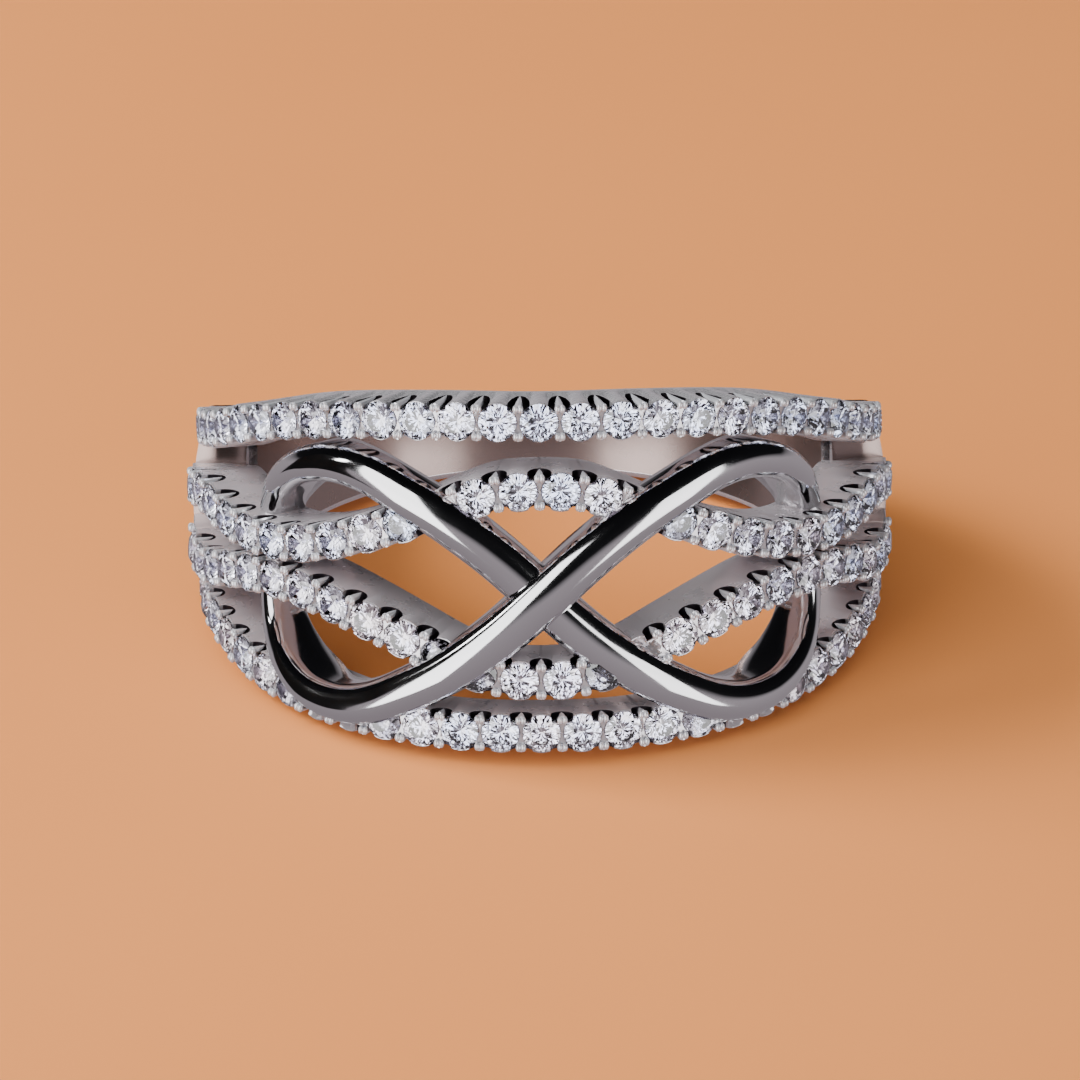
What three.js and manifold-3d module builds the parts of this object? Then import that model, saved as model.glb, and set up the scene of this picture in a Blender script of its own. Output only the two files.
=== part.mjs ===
// A wide silver finger ring with a polished infinity figure laid over four rails of small round stones.
// It lies on its side as it rests on a table: finger hole nearly upright, front towards -Y, +Z up.
//
// Every rail, the infinity and the shank are drawn on the ring's cylinder unrolled flat: a Vector2 holds the
// distance round the ring from the middle of the front (x) and the height along the finger (y). wrap() rolls
// such a point back onto the cylinder at a given radius. The stones of a rail are fused to their setting.
// Lengths are in millimetres and angles in degrees, unless a comment says otherwise.

import * as THREE from "three";
import { mergeVertices } from "three/addons/utils/BufferGeometryUtils.js";
import Module from "manifold-3d";

const wasm = await Module();
wasm.setup();

// Driving sizes
const fingerRadius = 8.65; // bore of the ring, a US size 7
const railDepth = 1.62; // of an edge rail, from the bore to the girdles of its stones
const strandRise = 0.33; // the inner strands' girdles lie this much higher, so the ring is slightly domed
const railWidth = 1.2;
const railGap = 0.4; // between two rails side by side at the shank
const strandOverlap = 0.06; // where the two inner strands run joined side by side
const railEndAngle = 90; // where the rails run into the plain shank
const edgeFrontHeight = 4.65; // centre line of an edge rail at the middle of the front
const strandFrontHeight = 2.83; // centre line of a strand there
const strandSwell = 1.1; // centre line of a strand where the four rails spread again, halfway to the shank
const edgeSwell = 2.9; // centre line of an edge rail there
const strandDrop = 0.15; // the strands sit this much lower than the middle of the ring
const stoneDiameter = 1.12;
const stonePitch = 1.21;
const girdleSink = 0.02; // the girdles lie this much below the metal's top
const crownHeight = 0.17;
const pavilionHeight = 0.48;
const tableShare = 0.57; // table width over stone width
const scallopDepth = 0.16; // how far each side of a rail is cut in between two stones
const scallopHeight = 0.75; // how far down from the girdle that cut reaches
const prongRadius = 0.15;
const prongTipRadius = 0.09;
const prongInset = 0.17; // from the rail's side to the prong's axis
const prongRise = 0.2; // above the girdle
const prongRoot = 0.25; // below the girdle, inside the rail
const infinityReach = 57; // angle from the crossing to the far side of a loop
const infinityHeight = 3.61; // from the crossing to the centre line at the top of a loop
const infinityTurn = 0.2; // the crossing lies this angle to the right of the middle
const infinityDrop = 0.53; // and this far below it
const armWidth = 1.42; // of the infinity at the crossing
const loopWidth = 0.9; // of the infinity round its loops
const armRise = 0.55; // from the strands' girdles to the outside of the arm that passes over
const underArmSink = 0.35; // the other arm lies this much deeper at the crossing
const loopRise = 0.5; // from the edge rails' girdles to the outside of the infinity at the top of its loops
const seatSink = 0.17; // from an edge rail's girdles to a rail's top where the infinity lies over it
const diveSink = 0.2; // from that seat to the outside of the infinity where it runs in below the strands
const armFloorSink = 0.25; // from that seat to the underside of the infinity's arms
const loopFloorRise = 0.15; // from the bore to the underside of the infinity round its loops
const infinityCrown = 0.55; // height of the rounded part of its section
const clearance = 0.12; // round the infinity, where a rail passes it
const shankBackWidth = 2.4;
const shankBackThickness = 1.5;
const shankChamfer = 0.2;
const silver = { color: 0xdcdce0, roughness: 0.12, metalness: 1 };
const stoneSet = { color: 0xe9e9f2, roughness: 0.25, metalness: 0.6 };

// Places that follow from the driving sizes
const edgeRadius = fingerRadius + railDepth;
const strandRadius = edgeRadius + strandRise;
const seatRadius = edgeRadius - seatSink;
const armCrownRadius = strandRadius + armRise;
const loopCrownRadius = edgeRadius + loopRise;
const diveRadius = seatRadius - diveSink;
const armFloorRadius = seatRadius - armFloorSink;
const loopFloorRadius = fingerRadius + loopFloorRise;
const railSpacing = railWidth + railGap;
const strandSideHeight = railSpacing / 2; // all four rails run side by side into the shank
const edgeSideHeight = railSpacing * 1.5;
const strandMeetHeight = (railWidth - strandOverlap) / 2;
const railEnd = THREE.MathUtils.degToRad(railEndAngle) * edgeRadius;
const trimOverrun = 0.4; // a rail is built this much too long, then trimmed flat
const cutterReach = 2; // how far a cutter runs past what it cuts
const mergeDistance = 0.008; // corners closer than this are made one

// Centre lines of the rails, by the angle from the middle of the front. Each column is the share that one
// named height has there, and the rest is the height at the shank.
const edgeRows = [
  { angle: 0, front: 1, swell: 0 },
  { angle: 20, front: 0.97, swell: 0.03 },
  { angle: 40, front: 0.78, swell: 0.22 },
  { angle: 58, front: 0.42, swell: 0.58 },
  { angle: 74, front: 0, swell: 1 },
  { angle: 82, front: 0, swell: 0.5 },
  { angle: 90, front: 0, swell: 0 },
];
// A strand also runs joined to the other one, at the height called meet.
const strandRows = [
  { angle: 0, front: 1, meet: 0, swell: 0 },
  { angle: 8, front: 0.95, meet: 0.05, swell: 0 },
  { angle: 15, front: 0.76, meet: 0.24, swell: 0 },
  { angle: 23, front: 0.5, meet: 0.5, swell: 0 },
  { angle: 32, front: 0.25, meet: 0.75, swell: 0 },
  { angle: 41, front: 0.07, meet: 0.93, swell: 0 },
  { angle: 50, front: 0, meet: 1, swell: 0 },
  { angle: 60, front: 0, meet: 0.75, swell: 0.25 },
  { angle: 74, front: 0, meet: 0, swell: 1 },
  { angle: 82, front: 0, meet: 0, swell: 0.5 },
  { angle: 90, front: 0, meet: 0, swell: 0 },
];
const edgeHeight = blend(edgeRows, edgeSideHeight, {
  front: edgeFrontHeight,
  swell: edgeSwell,
});
const strandHeight = blend(strandRows, strandSideHeight, {
  front: strandFrontHeight,
  meet: strandMeetHeight,
  swell: strandSwell,
});

// One quarter of the infinity, from the crossing to the far side of a loop. along and height are shares of its
// reach and height. width goes from the arm's (0) to the loop's (1), crown from the arm's radius (0) to the
// loop's (1) and on to the dive below the strands (2), and floor from the arm's (0) to the loop's (1). sink is
// the share of underArmSink that the lower arm has left.
const infinityRows = [
  { along: 0, height: 0, width: 0, crown: 0, floor: 0, sink: 1 },
  { along: 0.13, height: 0.333, width: 0, crown: 0.15, floor: 0, sink: 0.85 },
  { along: 0.26, height: 0.606, width: 0.05, crown: 0.35, floor: 0, sink: 0.4 },
  { along: 0.385, height: 0.803, width: 0.15, crown: 0.55, floor: 0, sink: 0.05 },
  { along: 0.51, height: 0.956, width: 0.3, crown: 0.75, floor: 0.1, sink: 0 },
  { along: 0.635, height: 1, width: 0.5, crown: 0.9, floor: 0.5, sink: 0 },
  { along: 0.76, height: 0.925, width: 0.7, crown: 1.05, floor: 1, sink: 0 },
  { along: 0.87, height: 0.74, width: 0.9, crown: 1.3, floor: 1, sink: 0 },
  { along: 0.96, height: 0.48, width: 1, crown: 1.75, floor: 1, sink: 0 },
  { along: 1, height: 0, width: 1, crown: 2, floor: 1, sink: 0 },
];

// A smooth function of an angle through one column of a table, flat at both ends.
function table(rows, column) {
  const curve = new THREE.CubicInterpolant(
    rows.map((row) => row.angle),
    rows.map((row) => row[column]),
    1,
  );
  curve.settings = {
    endingStart: THREE.ZeroSlopeEnding,
    endingEnd: THREE.ZeroSlopeEnding,
  };
  const [first, last] = [rows[0].angle, rows[rows.length - 1].angle];
  return (angle) =>
    curve.evaluate(THREE.MathUtils.clamp(Math.abs(angle), first, last))[0];
}

// The height of a rail by the angle, from a table of shares and the heights that they belong to.
function blend(rows, atShank, heights) {
  const columns = Object.keys(heights).map((name) => ({
    rise: heights[name] - atShank,
    shareAt: table(rows, name),
  }));
  return (angle) =>
    columns.reduce((sum, { rise, shareAt }) => sum + rise * shareAt(angle), atShank);
}

function lerp(from, to, share) {
  return from + (to - from) * share;
}

// Rolls a point of the unrolled plane onto the cylinder of the given radius.
function wrap(flat, radius) {
  const angle = flat.x / edgeRadius;
  return new THREE.Vector3(
    radius * Math.sin(angle),
    -radius * Math.cos(angle),
    flat.y,
  );
}

// The centre line of a rail: height is a function of the angle from the middle of the front.
class RailPath extends THREE.Curve {
  constructor(heightAt) {
    super();
    this.heightAt = heightAt;
    this.halfLength = railEnd + trimOverrun;
  }

  getPoint(t, target = new THREE.Vector2()) {
    const along = lerp(-this.halfLength, this.halfLength, t);
    const angle = THREE.MathUtils.radToDeg(along / edgeRadius);
    return target.set(along, this.heightAt(angle));
  }
}

// The infinity's centre line on the unrolled plane. t runs once round the figure: 0 and 1 lie at the crossing
// on the arm that passes over, and 0.5 at the crossing on the arm that passes under.
class InfinityPath extends THREE.Curve {
  constructor() {
    super();
    const outward = infinityRows.slice(0, -1);
    const inward = infinityRows.slice(1).reverse();
    const quarter = (rows, side, rise) =>
      rows.map(({ along, height }) => {
        const angle = infinityTurn + side * along * infinityReach;
        return new THREE.Vector3(
          THREE.MathUtils.degToRad(angle) * edgeRadius,
          rise * height * infinityHeight - infinityDrop,
          0,
        );
      });
    this.spline = new THREE.CatmullRomCurve3(
      [
        ...quarter(outward, 1, 1),
        ...quarter(inward, 1, -1),
        ...quarter(outward, -1, 1),
        ...quarter(inward, -1, -1),
      ],
      true,
    );
  }

  getPoint(t, target = new THREE.Vector2()) {
    const { x, y } = this.spline.getPoint(t);
    return target.set(x, y);
  }

  getTangent(t, target = new THREE.Vector2()) {
    const { x, y } = this.spline.getTangent(t);
    return target.set(x, y).normalize();
  }
}

// A closed solid for the booleans, from a geometry with closed faces. Faces with no area are left out.
function toSolid(geometry) {
  const bare = geometry.clone();
  for (const name of Object.keys(bare.attributes)) {
    if (name !== "position") bare.deleteAttribute(name);
  }
  const merged = mergeVertices(bare, 1e-5);
  const corners = Array.from(merged.index.array);
  const kept = [];
  for (let i = 0; i < corners.length; i += 3) {
    const [a, b, c] = corners.slice(i, i + 3);
    if (a !== b && b !== c && c !== a) kept.push(a, b, c);
  }
  return new wasm.Manifold(
    new wasm.Mesh({
      numProp: 3,
      vertProperties: new Float32Array(merged.attributes.position.array),
      triVerts: new Uint32Array(kept),
    }),
  );
}

function toGeometry(solid) {
  const mesh = solid.getMesh();
  const geometry = new THREE.BufferGeometry();
  geometry.setAttribute(
    "position",
    new THREE.BufferAttribute(new Float32Array(mesh.vertProperties), 3),
  );
  geometry.setIndex(new THREE.BufferAttribute(mesh.triVerts, 1));
  const faceted = geometry.toNonIndexed();
  faceted.computeVertexNormals();
  return faceted;
}

// A solid through sections that all have the same number of corners, each a list of points that turns right
// when seen from the end of the sweep. Both ends are closed by a flat fan.
function loft(sections) {
  const corners = sections[0].length;
  const points = sections.flat();
  const faces = [];
  for (let s = 0; s + 1 < sections.length; s++) {
    for (let c = 0; c < corners; c++) {
      const next = (c + 1) % corners;
      const [a, b] = [s * corners + c, s * corners + next];
      const [d, e] = [a + corners, b + corners];
      faces.push(a, e, b, a, d, e);
    }
  }
  const last = (sections.length - 1) * corners;
  for (let c = 1; c + 1 < corners; c++) {
    faces.push(0, c, c + 1, last, last + c + 1, last + c);
  }
  const geometry = new THREE.BufferGeometry().setFromPoints(points);
  geometry.setIndex(faces);
  return toSolid(geometry);
}

// One section of a sweep: corners are [across the path, radius] pairs.
function sectionOn(point, tangent, corners) {
  const across = new THREE.Vector2(-tangent.y, tangent.x);
  return corners.map(([offset, radius]) =>
    wrap(point.clone().addScaledVector(across, offset), radius),
  );
}

// The frame of a stone or prong: x along the path, y across it and z outwards.
function seatFrame(point, tangent, radius, offset = 0) {
  const angle = point.x / edgeRadius;
  const round = new THREE.Vector3(Math.cos(angle), Math.sin(angle), 0);
  const up = new THREE.Vector3(0, 0, 1);
  const along = round
    .clone()
    .multiplyScalar(tangent.x)
    .addScaledVector(up, tangent.y);
  const across = up
    .clone()
    .multiplyScalar(tangent.x)
    .addScaledVector(round, -tangent.y);
  const outward = new THREE.Vector3(Math.sin(angle), -Math.cos(angle), 0);
  return new THREE.Matrix4()
    .makeBasis(along, across, outward)
    .setPosition(wrap(point, radius).addScaledVector(across, offset));
}

// An eight-sided brilliant: a table, eight crown facets and eight pavilion facets. Its girdle lies at z = 0.
function stoneGeometry() {
  const girdle = stoneDiameter / 2;
  const profile = [
    new THREE.Vector2(0, -pavilionHeight),
    new THREE.Vector2(girdle, 0),
    new THREE.Vector2(girdle * tableShare, crownHeight),
    new THREE.Vector2(0, crownHeight),
  ];
  return new THREE.LatheGeometry(profile, 8)
    .rotateX(Math.PI / 2)
    .rotateZ(Math.PI / 8);
}

// A prong: a short tapered post that stands beside two stones and grips both.
function prongGeometry() {
  const length = prongRise + prongRoot;
  return new THREE.CylinderGeometry(prongTipRadius, prongRadius, length, 4)
    .rotateX(Math.PI / 2)
    .rotateZ(Math.PI / 4)
    .translate(0, 0, prongRise - length / 2);
}

// The metal of one rail. Its sides are cut in between the stones, and a prong stands in each cut.
function railMetal(path, girdleRadius, stones) {
  const side = railWidth / 2;
  const top = girdleRadius + girdleSink;
  const section = (share, cut) =>
    sectionOn(path.getPointAt(share), path.getTangentAt(share), [
      [-side, fingerRadius],
      [-side, girdleRadius - scallopHeight],
      [-side + scallopDepth * cut, top],
      [side - scallopDepth * cut, top],
      [side, girdleRadius - scallopHeight],
      [side, fingerRadius],
    ]);
  const steps = stones.count * 2;
  const sections = [section(0, 0)];
  for (let i = 0; i <= steps; i++) {
    sections.push(section(lerp(stones.from, stones.to, i / steps), 1 - (i % 2)));
  }
  sections.push(section(1, 0));
  return loft(sections);
}

// The room that a rail takes below the infinity: the infinity is cut by it.
function railRoom(path) {
  const steps = 64;
  const half = railWidth / 2 + clearance;
  const sections = [];
  for (let i = 0; i <= steps; i++) {
    const share = i / steps;
    sections.push(
      sectionOn(path.getPointAt(share), path.getTangentAt(share), [
        [-half, fingerRadius - cutterReach],
        [-half, seatRadius + clearance],
        [half, seatRadius + clearance],
        [half, fingerRadius - cutterReach],
      ]),
    );
  }
  return loft(sections);
}

// Where a rail's stones lie, as shares of its path: as many as fit at the pitch, evenly spread.
// oddCount says whether a stone or a gap lies at the middle of the front.
function stoneSpread(path, oddCount) {
  const length = path.getLength();
  const room = length - 2 * trimOverrun;
  let count = Math.floor(room / stonePitch);
  if (count % 2 !== (oddCount ? 1 : 0)) count -= 1;
  const used = (count * stonePitch) / length;
  return { count, from: 0.5 - used / 2, to: 0.5 + used / 2, pitch: used / count };
}

// Whether a point of the unrolled plane lies below the infinity, or less than margin beside it, where that
// runs above the rails' seats.
function coveredByInfinity(point, margin) {
  return infinityMarks.some(
    ({ centre, half, raised }) =>
      raised && centre.distanceTo(point) < half + clearance + margin,
  );
}

// One rail with its stones and prongs.
function buildRail(path, girdleRadius, oddCount) {
  const stones = stoneSpread(path, oddCount);
  const pieces = [railMetal(path, girdleRadius, stones)];
  for (let i = 0; i < stones.count; i++) {
    const share = stones.from + (i + 0.5) * stones.pitch;
    const point = path.getPointAt(share);
    // No stone is set where the infinity covers the rail.
    if (coveredByInfinity(point, 0)) continue;
    const frame = seatFrame(point, path.getTangentAt(share), girdleRadius);
    pieces.push(toSolid(stoneGeometry().applyMatrix4(frame)));
  }
  for (let i = 0; i <= stones.count; i++) {
    const share = stones.from + i * stones.pitch;
    const point = path.getPointAt(share);
    const tangent = path.getTangentAt(share);
    const across = new THREE.Vector2(-tangent.y, tangent.x);
    for (const side of [-1, 1]) {
      const reach = (railWidth / 2 - prongInset) * side;
      const foot = point.clone().addScaledVector(across, reach);
      // Nor is a prong set where the infinity would cut into it.
      if (coveredByInfinity(foot, prongRadius)) continue;
      const frame = seatFrame(point, tangent, girdleRadius, reach);
      pieces.push(toSolid(prongGeometry().applyMatrix4(frame)));
    }
  }
  return wasm.Manifold.union(pieces);
}

// Cuts a rail clear of the infinity above its seat, and trims its ends flat on the plane y = 0.
function fitRail(rail, infinityRoom) {
  return tidySolid(rail.subtract(infinityRoom).trimByPlane([0, -1, 0], 0));
}

// Makes one of corners that lie close together, so that the cuts leave no slivers.
function tidySolid(solid) {
  return solid.asOriginal().simplify(mergeDistance);
}

// The value of one column of the infinity's rows at t.
function infinityShare(t, column) {
  const last = infinityRows.length - 1;
  const turn = (t * 4) % 2;
  const place = (turn < 1 ? turn : 2 - turn) * last;
  const row = Math.min(Math.floor(place), last - 1);
  return lerp(infinityRows[row][column], infinityRows[row + 1][column], place - row);
}

// How high the infinity's outside and underside lie at t, and half its width there.
function infinitySizes(t) {
  const under = t > 0.25 && t < 0.75;
  const sink = under ? underArmSink * infinityShare(t, "sink") : 0;
  const armCrown = armCrownRadius - sink;
  const crownShare = infinityShare(t, "crown");
  return {
    crown:
      crownShare < 1
        ? lerp(armCrown, loopCrownRadius, crownShare)
        : lerp(loopCrownRadius, diveRadius, crownShare - 1),
    floor: lerp(armFloorRadius, loopFloorRadius, infinityShare(t, "floor")),
    half: lerp(armWidth, loopWidth, infinityShare(t, "width")) / 2,
  };
}

// The infinity's section: its crown is half an ellipse over straight sides.
function infinityCorners(t) {
  const { crown, floor, half } = infinitySizes(t);
  const spring = crown - infinityCrown;
  const arch = [];
  const archSteps = 5;
  for (let i = 0; i <= archSteps; i++) {
    const a = (i / archSteps) * Math.PI;
    arch.push([-half * Math.cos(a), spring + infinityCrown * Math.sin(a)]);
  }
  return [[-half, floor], ...arch, [half, floor]];
}

// The room that the infinity takes above the seats: straight sided, so that nothing is left hanging over it.
function infinityRoomCorners(t) {
  const { crown, floor, half } = infinitySizes(t);
  const [wide, high] = [half + clearance, crown + clearance];
  const top = crown > seatRadius ? high + cutterReach : high;
  return [
    [-wide, floor],
    [-wide, top],
    [wide, top],
    [wide, floor],
  ];
}

// A sweep of a section round the infinity, as two halves that meet at the far sides of its loops.
function sweepInfinity(corners) {
  const steps = 44;
  const half = (from) => {
    const sections = [];
    for (let i = 0; i <= steps; i++) {
      const t = (from + (i / steps) * 0.5 + 1) % 1;
      sections.push(
        sectionOn(infinityPath.getPoint(t), infinityPath.getTangent(t), corners(t)),
      );
    }
    return loft(sections);
  };
  return half(-0.25).add(half(0.25));
}

// The plain back of the ring. Its width and thickness go from the rails' at its ends to the back's.
function buildShank() {
  const steps = 40;
  const sections = [];
  const sideHalf = railSpacing * 2 - railGap / 2;
  for (let i = 0; i <= steps; i++) {
    const angle = lerp(railEndAngle, 360 - railEndAngle, i / steps);
    const share = Math.sin((i / steps) * Math.PI) ** 0.8;
    const half = lerp(sideHalf, shankBackWidth / 2, share);
    const back = fingerRadius + shankBackThickness;
    const [edge, middle] = [lerp(edgeRadius, back, share), lerp(strandRadius, back, share)];
    const point = new THREE.Vector2(
      THREE.MathUtils.degToRad(angle) * edgeRadius,
      0,
    );
    const corners = [
      [-half + shankChamfer, fingerRadius],
      [-half, fingerRadius + shankChamfer],
      [-half, edge - 2 * shankChamfer],
      [-half + shankChamfer, edge - shankChamfer / 2],
      [-half * 0.45, middle],
      [half * 0.45, middle],
      [half - shankChamfer, edge - shankChamfer / 2],
      [half, edge - 2 * shankChamfer],
      [half, fingerRadius + shankChamfer],
      [half - shankChamfer, fingerRadius],
    ];
    sections.push(sectionOn(point, new THREE.Vector2(1, 0), corners));
  }
  return loft(sections);
}

function addMesh(group, name, solid, finish) {
  const mesh = new THREE.Mesh(
    toGeometry(solid),
    new THREE.MeshStandardMaterial(finish),
  );
  mesh.name = name;
  group.add(mesh);
  return mesh;
}

const infinityPath = new InfinityPath();
const infinityMarks = Array.from({ length: 240 }, (_, i) => {
  const { crown, half } = infinitySizes(i / 240);
  return { centre: infinityPath.getPoint(i / 240), half, raised: crown > seatRadius };
});

const upperEdgePath = new RailPath(edgeHeight);
const lowerEdgePath = new RailPath((angle) => -edgeHeight(angle));
const upperStrandPath = new RailPath((angle) => strandHeight(angle) - strandDrop);
const lowerStrandPath = new RailPath((angle) => -strandHeight(angle) - strandDrop);

const infinityRoom = sweepInfinity(infinityRoomCorners).subtract(
  wasm.Manifold.cylinder(4 * edgeFrontHeight, seatRadius, seatRadius, 96, true),
);
const strands = buildRail(upperStrandPath, strandRadius, false).add(
  buildRail(lowerStrandPath, strandRadius, false),
);
const infinity = tidySolid(
  [upperEdgePath, upperStrandPath, lowerStrandPath, lowerEdgePath]
    .map(railRoom)
    .reduce((left, room) => left.subtract(room), sweepInfinity(infinityCorners)),
);

const ring = new THREE.Group();
addMesh(ring, "shank", buildShank(), silver);
addMesh(
  ring,
  "upper_edge_rail",
  fitRail(buildRail(upperEdgePath, edgeRadius, true), infinityRoom),
  stoneSet,
);
addMesh(ring, "crossing_strands", fitRail(strands, infinityRoom), stoneSet);
addMesh(
  ring,
  "lower_edge_rail",
  fitRail(buildRail(lowerEdgePath, edgeRadius, true), infinityRoom),
  stoneSet,
);
addMesh(ring, "infinity", infinity, silver);

// Lying on its side the ring touches the table with the finger side of the lower edge rail at the front, and
// with the outside of the shank at the back. The front is wider, so the ring leans back.
const backFoot = new THREE.Vector2(
  fingerRadius + shankBackThickness - 2 * shankChamfer,
  -shankBackWidth / 2,
);
const frontFeet = Array.from({ length: 90 }, (_, angle) => {
  const inward = Math.cos(THREE.MathUtils.degToRad(angle));
  return new THREE.Vector2(-fingerRadius * inward, -edgeHeight(angle) - railWidth / 2);
});
const lean = Math.max(
  ...frontFeet.map((foot) => Math.atan2(backFoot.y - foot.y, backFoot.x - foot.x)),
);
ring.rotation.x = -lean;

// The origin lies on the table below the middle of the ring.
const standing = new THREE.Group();
standing.add(ring);
standing.updateMatrixWorld(true);
const box = new THREE.Box3().setFromObject(standing, true);
ring.position.set(
  -(box.min.x + box.max.x) / 2,
  -(box.min.y + box.max.y) / 2,
  -box.min.z,
);

export default standing;
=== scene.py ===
"""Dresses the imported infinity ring: cut stones, scalloped rails, a polished figure and a shank.

Sizes repeat the CAD part's in millimetres, and objects are made in metres in the CAD's frame. As in
the CAD part, each piece is first drawn on the ring's cylinder unrolled flat: run is the distance
round the ring from the middle of the front, and rise the height along the finger.
"""

import logging
import math
from dataclasses import dataclass, field
from enum import Enum, IntEnum
from typing import Callable

import bpy
import numpy as np
from mathutils import Matrix, Vector


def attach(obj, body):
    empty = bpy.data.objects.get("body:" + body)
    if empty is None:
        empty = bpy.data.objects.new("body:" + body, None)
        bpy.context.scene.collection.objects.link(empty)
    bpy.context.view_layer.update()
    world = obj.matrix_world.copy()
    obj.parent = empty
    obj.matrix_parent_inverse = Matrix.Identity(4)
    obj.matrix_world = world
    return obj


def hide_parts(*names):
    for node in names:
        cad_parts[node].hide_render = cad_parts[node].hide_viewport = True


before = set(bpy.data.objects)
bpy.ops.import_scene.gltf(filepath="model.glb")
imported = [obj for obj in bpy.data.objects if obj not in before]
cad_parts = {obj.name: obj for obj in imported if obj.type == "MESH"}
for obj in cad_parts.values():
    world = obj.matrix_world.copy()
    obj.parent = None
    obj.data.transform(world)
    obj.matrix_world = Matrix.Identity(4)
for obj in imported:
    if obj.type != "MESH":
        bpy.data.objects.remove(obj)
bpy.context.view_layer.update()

LOG = logging.getLogger("infinity_ring")
MM = 0.001
Lengths = np.ndarray | float
Column = tuple[float, ...]
Pairs = tuple[tuple[float, float], ...]
Faces = list[list[int]]
Socket = bpy.types.NodeSocket
Material = bpy.types.Material


def linear(hex_colour: str) -> tuple[float, float, float, float]:
    """Turns an sRGB hex colour into linear RGBA.

    Args:
        hex_colour: six hex digits.

    Returns:
        The colour as Blender's shaders take it.
    """
    channels = [int(hex_colour[i : i + 2], 16) / 255 for i in (0, 2, 4)]
    red, green, blue = [
        c / 12.92 if c <= 0.04045 else ((c + 0.055) / 1.055) ** 2.4 for c in channels
    ]
    return (red, green, blue, 1.0)


def mix(start: float, end: float, share: float) -> float:
    """The value that lies this share of the way from start to end."""
    return start + (end - start) * share


@dataclass(frozen=True)
class SmoothTable:
    """A smooth function of an angle through one column of a table, flat at both ends."""

    angles: Column
    shares: Column

    def at(self, angle: float) -> float:
        """The column's value, the same on both sides of the front.

        Args:
            angle: from the middle of the front, in degrees.

        Returns:
            The share at that angle.
        """
        angles, shares = self.angles, self.shares
        turn = min(max(abs(angle), angles[0]), angles[-1])
        i = min(int(np.searchsorted(angles, turn, side="right")), len(angles) - 1)
        start, end = angles[i - 1], angles[i]
        before = angles[i - 2] if i > 1 else 2 * start - end
        after = angles[i + 1] if i + 1 < len(angles) else 2 * end - start
        value_before = shares[i - 2] if i > 1 else shares[i]
        value_after = shares[i + 1] if i + 1 < len(angles) else shares[i - 1]
        half = (end - start) / 2
        w0, w1 = half / (start - before), half / (after - end)
        p = (turn - start) / (end - start)
        return (
            (-w0 * p**3 + 2 * w0 * p**2 - w0 * p) * value_before
            + ((1 + w0) * p**3 + (-1.5 - 2 * w0) * p**2 + (w0 - 0.5) * p + 1) * shares[i - 1]
            + ((-1 - w1) * p**3 + (1.5 + w1) * p**2 + 0.5 * p) * shares[i]
            + (w1 * p**3 - w1 * p**2) * value_after
        )


@dataclass(frozen=True)
class RingSizes:
    """Sizes that every piece shares, in millimetres and degrees, as in the CAD part."""

    bore: float = 8.65
    rail_depth: float = 1.62
    strand_rise: float = 0.33
    rail_width: float = 1.2
    rail_gap: float = 0.4
    strand_overlap: float = 0.06
    rail_end_angle: float = 90.0
    lean: float = 12.6601
    back_shift: float = 0.652
    lift: float = 3.3107

    @property
    def edge_radius(self) -> float:
        """Radius of the girdles in the edge rails."""
        return self.bore + self.rail_depth

    @property
    def strand_radius(self) -> float:
        """Radius of the girdles in the inner strands."""
        return self.edge_radius + self.strand_rise

    @property
    def spacing(self) -> float:
        """Distance between the centre lines of two rails at the shank."""
        return self.rail_width + self.rail_gap

    def rolled(self, run: Lengths, rise: Lengths, radius: Lengths) -> np.ndarray:
        """Rolls points of the unrolled plane onto the ring as it rests on the table.

        Args:
            run: distances round the ring.
            rise: heights along the finger.
            radius: distances from the finger's axis.

        Returns:
            Points in metres, one row each.
        """
        run, rise, radius = np.broadcast_arrays(run, rise, radius)
        angle = run / self.edge_radius
        x, y = radius * np.sin(angle), -radius * np.cos(angle)
        lean = math.radians(self.lean)
        back = y * math.cos(lean) + rise * math.sin(lean) + self.back_shift
        up = -y * math.sin(lean) + rise * math.cos(lean) + self.lift
        return np.stack([x, back, up], axis=-1) * MM


@dataclass
class Path:
    """A centre line on the unrolled plane, measured by its length."""

    run: np.ndarray
    rise: np.ndarray
    tangent_reach: float = 0.02
    length: np.ndarray = field(init=False)

    def __post_init__(self) -> None:
        """Measures the line."""
        steps = np.hypot(np.diff(self.run), np.diff(self.rise))
        self.length = np.concatenate([[0.0], np.cumsum(steps)])

    @property
    def total(self) -> float:
        """The whole length in millimetres."""
        return float(self.length[-1])

    def at(self, length: Lengths) -> tuple[Lengths, Lengths]:
        """Points at these lengths, as run and rise."""
        return np.interp(length, self.length, self.run), np.interp(length, self.length, self.rise)

    def tangent(self, length: Lengths) -> tuple[Lengths, Lengths]:
        """Unit directions along the line.

        Args:
            length: lengths along the line.

        Returns:
            The directions' run and rise.
        """
        ahead = self.at(np.minimum(length + self.tangent_reach, self.total))
        behind = self.at(np.maximum(length - self.tangent_reach, 0))
        run, rise = ahead[0] - behind[0], ahead[1] - behind[1]
        size = np.hypot(run, rise)
        return run / size, rise / size


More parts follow.
